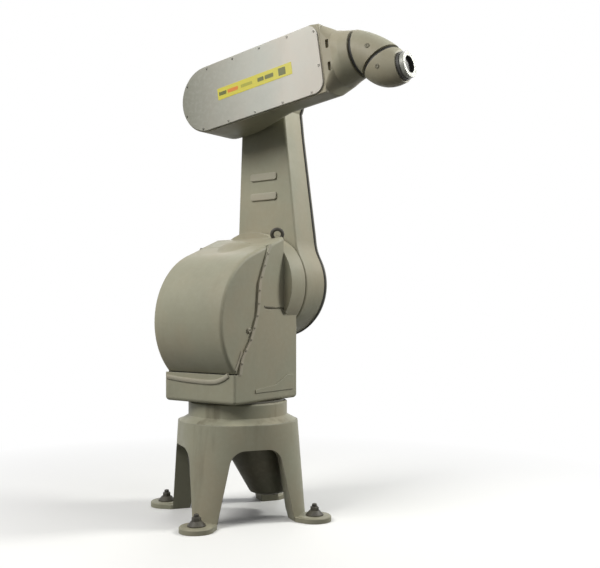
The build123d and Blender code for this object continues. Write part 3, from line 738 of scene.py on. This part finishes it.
# Foot anchors: a conical washer, a nut and a stud on each pad
thread = [(STUD_RADIUS, STUD_FOOT)]
for step in range(THREAD_TURNS):
    crest = THREAD_START + step * THREAD_PITCH
    thread += [(STUD_RADIUS, crest), (STUD_ROOT, crest + THREAD_PITCH / 2)]
for number in range(ANCHOR_COUNT):
    turn = foot_angle + number * math.tau / ANCHOR_COUNT
    centre = (foot_reach * math.cos(turn), foot_reach * math.sin(turn), PAD_TOP)
    form = bmesh.new()
    base = facing(centre, UP, turn)
    lathe(form, base, WASHER, WASHER_SIDES)
    lathe(form, base, NUT, HEXAGON)
    lathe(form, base, [*thread, *STUD_END], STUD_SIDES)
    place_piece(f"foot_anchor_{number + 1}", "pedestal", form, [eye_steel])

# Screws of the hood's bands, along their far edge only, and of the rear panel
for side_name, axis in (("front", FRONT), ("rear", REAR)):
    screw_row(f"hood_screws_{side_name}", "turret", "hood_band", axis,
              spacing=0.085, inset=0.013, radius=0.0065, limit=HOOD_SCREW_LIMIT, head=band_and_highlight_paint)
screw_row("rear_panel_screws", "turret", "rear_panel", REAR, spacing=0.13, inset=0.018, radius=0.0065)

# Plain caps of the cable ports on the rear panel
rear_low, rear_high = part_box("rear_panel")
form = bmesh.new()
for across, radius_share in PORT_PLACES:
    point = (rear_low.x, rear_low.y + across * (rear_high.y - rear_low.y), rear_low.z + PORT_RISE)
    lathe(form, facing(point, REAR), scaled(PORT_PROFILE, radius_share, 1), CAP_SIDES)
place_piece("port_caps", "turret", form, [black_rubber])

# Screws of the lower arm's covers
screw_row("arm_cover_screws", "lower_arm", "arm_cover", FAR, spacing=0.19, inset=0.026, radius=0.0085)
screw_row("shoulder_cap_screws", "lower_arm", "shoulder_cap", FAR, spacing=0.15, inset=0.024, radius=0.009)
screw_row("elbow_cap_screws", "lower_arm", "elbow_cap", FAR, spacing=0.11, inset=0.020, radius=0.0075)

# Dark joint line between the lower arm and its cover, also painted shade along the shaded far edge
form = bmesh.new()
outline = along_rim(rim("lower_arm", FAR), FAR, JOINT_LINE_SPACING)
tube(form, [point for point, inward in outline], FAR, JOINT_LINE_RADIUS)
place_piece("arm_cover_joint_shade", "lower_arm", form, [black_rubber])

# Screws of the forearm's near plate and far cover
screw_row("forearm_plate_screws", "forearm", "forearm_plate", NEAR,
          spacing=0.235, inset=0.013, radius=0.0075, start=0.10, head=plate_paint)
screw_row("forearm_far_screws", "forearm", "forearm_far_cover", FAR,
          spacing=0.17, inset=0.018, radius=0.0068)

# Bars of the generic label
label_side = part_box("label_plate")[0].y
label_tilt = Matrix.Rotation(-forearm_turn, 4, "Y") @ Matrix.Rotation(math.pi / 2, 4, "X")
form = bmesh.new()
for start, end, height, material in LABEL_BARS:
    centre = on_forearm((start + end) / 2, -LABEL_DROP, label_side)
    slab(form, Matrix.Translation(centre) @ label_tilt, end - start, height, material)
place_piece("label_bars", "forearm", form, [label_dark, label_orange, label_faint])

# Near-black lining of the tool bore, painted shade inside the hollow
form = bmesh.new()
liner = [(bore_radius - inset, height) for inset, height in LINER_MOUTH]
liner += [(bore_radius - LINER_WALL, LINER_GAP - bore_depth), (0, LINER_GAP - bore_depth)]
lathe(form, facing(tool_face, tool_axis), liner, LINER_SIDES)
place_piece("bore_shade_liner", "tool_flange", form, [socket_and_bore_shade])

# Plugs of the wrist
for name, node, across, down, radius in WRIST_PLUGS:
    point, normal = seen_at(node, across, down)
    form = bmesh.new()
    profile = [(radius, -PLUG_ROOT), *scaled(PLUG_PROFILE, radius, PLUG_HEIGHT)]
    lathe(form, facing(point, normal), profile, CAP_SIDES)
    place_piece(name, node, form, [dark_paint_and_shade])

# Small lug beside the band of the hood
point, normal = seen_first(TURRET_FACES, *LUG_PIXEL)
form = bmesh.new()
lathe(form, facing(point, FRONT), LUG_PROFILE, CAP_SIDES)
place_piece("turret_lug", "turret", form, [band_and_highlight_paint])

# Beads on the turret: a lip under the near side of the hood and its run up the front of the hood, lighter as a
# painted highlight of the lit rim, and a dark trim of painted shade in the slot below the shoulder
turret_beads = (
    ("hood_lip", band_and_highlight_paint, HOOD_LIP_SIZE, HOOD_LIP_PIXELS),
    ("hood_front_lip", band_and_highlight_paint, FRONT_LIP_SIZE, FRONT_LIP_PIXELS),
    ("slot_shade_trim", dark_paint_and_shade, SLOT_SHADE_SIZE, SLOT_SHADE_PIXELS),
)
for name, material, size, pixels in turret_beads:
    seen = []
    for first, second in zip(pixels, pixels[1:]):
        for step in range(BEAD_STEPS):
            across, down = Vector(first).lerp(Vector(second), step / BEAD_STEPS)
            seen.append(seen_first(TURRET_FACES, across, down))
    normals = smoothed([normal for place, normal in seen], BEAD_SMOOTHING)
    normals = [normal.normalized() for normal in normals]
    places = smoothed([place for place, normal in seen], BEAD_SMOOTHING)
    places = [resting(TURRET_FACES, place, normal) for place, normal in zip(places, normals)]
    places = smoothed(places, RESTING_SMOOTHING)
    form = bmesh.new()
    strip(form, list(zip(places, normals)), *size)
    place_piece(name, "turret", form, [material], BEAD_SHARP)


# Soft rise on the slope of the hood, up to the near end of the shoulder drum
def height_at(name, x, y):
    """How high a node reaches over a place, or 0 where it has nothing."""
    hit, point, normal, face = nodes[name].ray_cast(Vector((x, y, SKY)), -UP)
    return point.z if hit else 0.0


def drum_shows(side):
    """Whether the shoulder drum stands out of the hood at a side."""
    hood = height_at("motor_hood", shoulder.x, side)
    return height_at("turret_casting", shoulder.x, side) > hood + DRUM_PROUD


def hood_height(side):
    """How high the slope of the hood reaches at a side, up to the end of the drum."""
    side = min(side, drum_side - DRUM_MARGIN)
    return max(height_at("motor_hood", shoulder.x + shift, side) for shift in HOOD_SHIFTS)


def drum_rise(x):
    """How far the shoulder drum stands above the hood at its near end."""
    return max(height_at("turret_casting", x, drum_side + DRUM_MARGIN) - hood_height(drum_side), 0.0)


search_sides = [SEARCH_START + SEARCH_STEP * step for step in range(SEARCH_COUNT)]
drum_side = next(side for side in search_sides if drum_shows(side))
search_halves = [SEARCH_STEP * step for step in range(SEARCH_COUNT)]
rise_half = next(half for half in search_halves if drum_rise(shoulder.x + half) < RISE_LEAST)
form = bmesh.new()
upper = []
lower = []
for column in range(RISE_COLUMNS + 1):
    x = shoulder.x + rise_half * (2 * column / RISE_COLUMNS - 1)
    rise = drum_rise(x)
    upper.append([])
    lower.append([])
    for row in range(RISE_ROWS + 1):
        share = row / RISE_ROWS
        side = drum_side + RISE_OVERLAP - share * (RISE_RUN * rise + RISE_FOOT)
        base = hood_height(side)
        lift = rise * (1 - share) ** 2 * (1 + 2 * share) - RISE_SINK * share
        upper[-1].append(form.verts.new((x, side, base + lift)))
        lower[-1].append(form.verts.new((x, side, base - RISE_ROOT)))
for sheet in (upper, lower):
    for left, right in zip(sheet, sheet[1:]):
        for row in range(RISE_ROWS):
            form.faces.new((left[row], right[row], right[row + 1], left[row + 1]))
borders = (
    ([line[0] for line in upper], [line[0] for line in lower]),
    ([line[-1] for line in upper], [line[-1] for line in lower]),
    (upper[0], lower[0]),
    (upper[-1], lower[-1]),
)
for high, low in borders:
    for step in range(len(high) - 1):
        form.faces.new((high[step], high[step + 1], low[step + 1], low[step]))
place_piece("hood_rise", "turret", form, [body_paint], RISE_SHARP)


# Stage: a pale floor that turns to plain white away from the object
def seen_background(tree):
    """1 where the camera, a reflection or glass shows what is behind, and 0 for the light on the object."""
    rays = tree.nodes.new("ShaderNodeLightPath").outputs
    value = rays["Is Camera Ray"]
    for name in ("Is Glossy Ray", "Is Transmission Ray"):
        either = tree.nodes.new("ShaderNodeMath")
        either.operation = "MAXIMUM"
        tree.links.new(value, either.inputs[0])
        tree.links.new(rays[name], either.inputs[1])
        value = either.outputs[0]
    return value


def floor_material():
    """Pale floor that keeps the object's shadow and fades to white far away."""
    graph = Graph("floor")
    seen = seen_background(graph.tree)
    graph.feed(graph.shader.inputs["Base Color"], graph.mix(FLOOR_SHADE, WHITE, seen))
    graph.feed(graph.shader.inputs["Roughness"], FLOOR_ROUGHNESS)
    glow = graph.add("ShaderNodeEmission", {"Color": BACKGROUND, "Strength": 1.0})
    length = graph.add("ShaderNodeVectorMath", operation="LENGTH")
    graph.feed(length.inputs[0], graph.place)
    away = graph.spread(length.outputs["Value"], FLOOR_FADE)
    blend = graph.add("ShaderNodeMixShader", {"Fac": graph.times(away, seen)})
    graph.feed(blend.inputs[1], graph.shader.outputs[0])
    graph.feed(blend.inputs[2], glow.outputs[0])
    output = graph.tree.nodes["Material Output"]
    graph.tree.links.new(blend.outputs[0], output.inputs["Surface"])
    return graph.material


floor_mesh = bpy.data.meshes.new("floor")
corners = [(x * FLOOR_REACH, y * FLOOR_REACH, FLOOR_LEVEL) for x, y in ((-1, -1), (1, -1), (1, 1), (-1, 1))]
floor_mesh.from_pydata(corners, [], [(0, 1, 2, 3)])
floor_mesh.materials.append(floor_material())
floor = bpy.data.objects.new("floor", floor_mesh)
bpy.context.scene.collection.objects.link(floor)

world = bpy.data.worlds.new("world")
bpy.context.scene.world = world
world.use_nodes = True
world_tree = world.node_tree
plain = world_tree.nodes["Background"]
plain.inputs["Color"].default_value = DAYLIGHT
plain.inputs["Strength"].default_value = DAYLIGHT_STRENGTH
backdrop = world_tree.nodes.new("ShaderNodeBackground")
backdrop.inputs["Color"].default_value = BACKGROUND
blend = world_tree.nodes.new("ShaderNodeMixShader")
world_tree.links.new(seen_background(world_tree), blend.inputs["Fac"])
world_tree.links.new(plain.outputs[0], blend.inputs[1])
world_tree.links.new(backdrop.outputs[0], blend.inputs[2])
world_tree.links.new(blend.outputs[0], world_tree.nodes["World Output"].inputs["Surface"])

# Square soft lights, each turned to its target
for name, place, target, size, power, colour in LIGHTS:
    light_data = bpy.data.lights.new(name, "AREA")
    light_data.size = size
    light_data.energy = power
    light_data.color = colour
    light = bpy.data.objects.new(name, light_data)
    light.location = place
    light.rotation_mode = "QUATERNION"
    light.rotation_quaternion = (Vector(target) - Vector(place)).to_track_quat("-Z", "Y")
    bpy.context.scene.collection.objects.link(light)

camera_data = bpy.data.cameras.new("camera")
camera_data.sensor_width = SENSOR_WIDTH
camera_data.lens = CAMERA_LENS
camera_data.shift_y = HORIZON_DROP / FRAME_WIDTH
camera_data.clip_end = CAMERA_SIGHT
camera = bpy.data.objects.new("camera", camera_data)
camera.location = CAMERA_PLACE
camera.rotation_euler = (math.pi / 2, 0, CAMERA_TURN)
bpy.context.scene.collection.objects.link(camera)
bpy.context.scene.camera = camera
bpy.context.scene.view_settings.view_transform = "Standard"
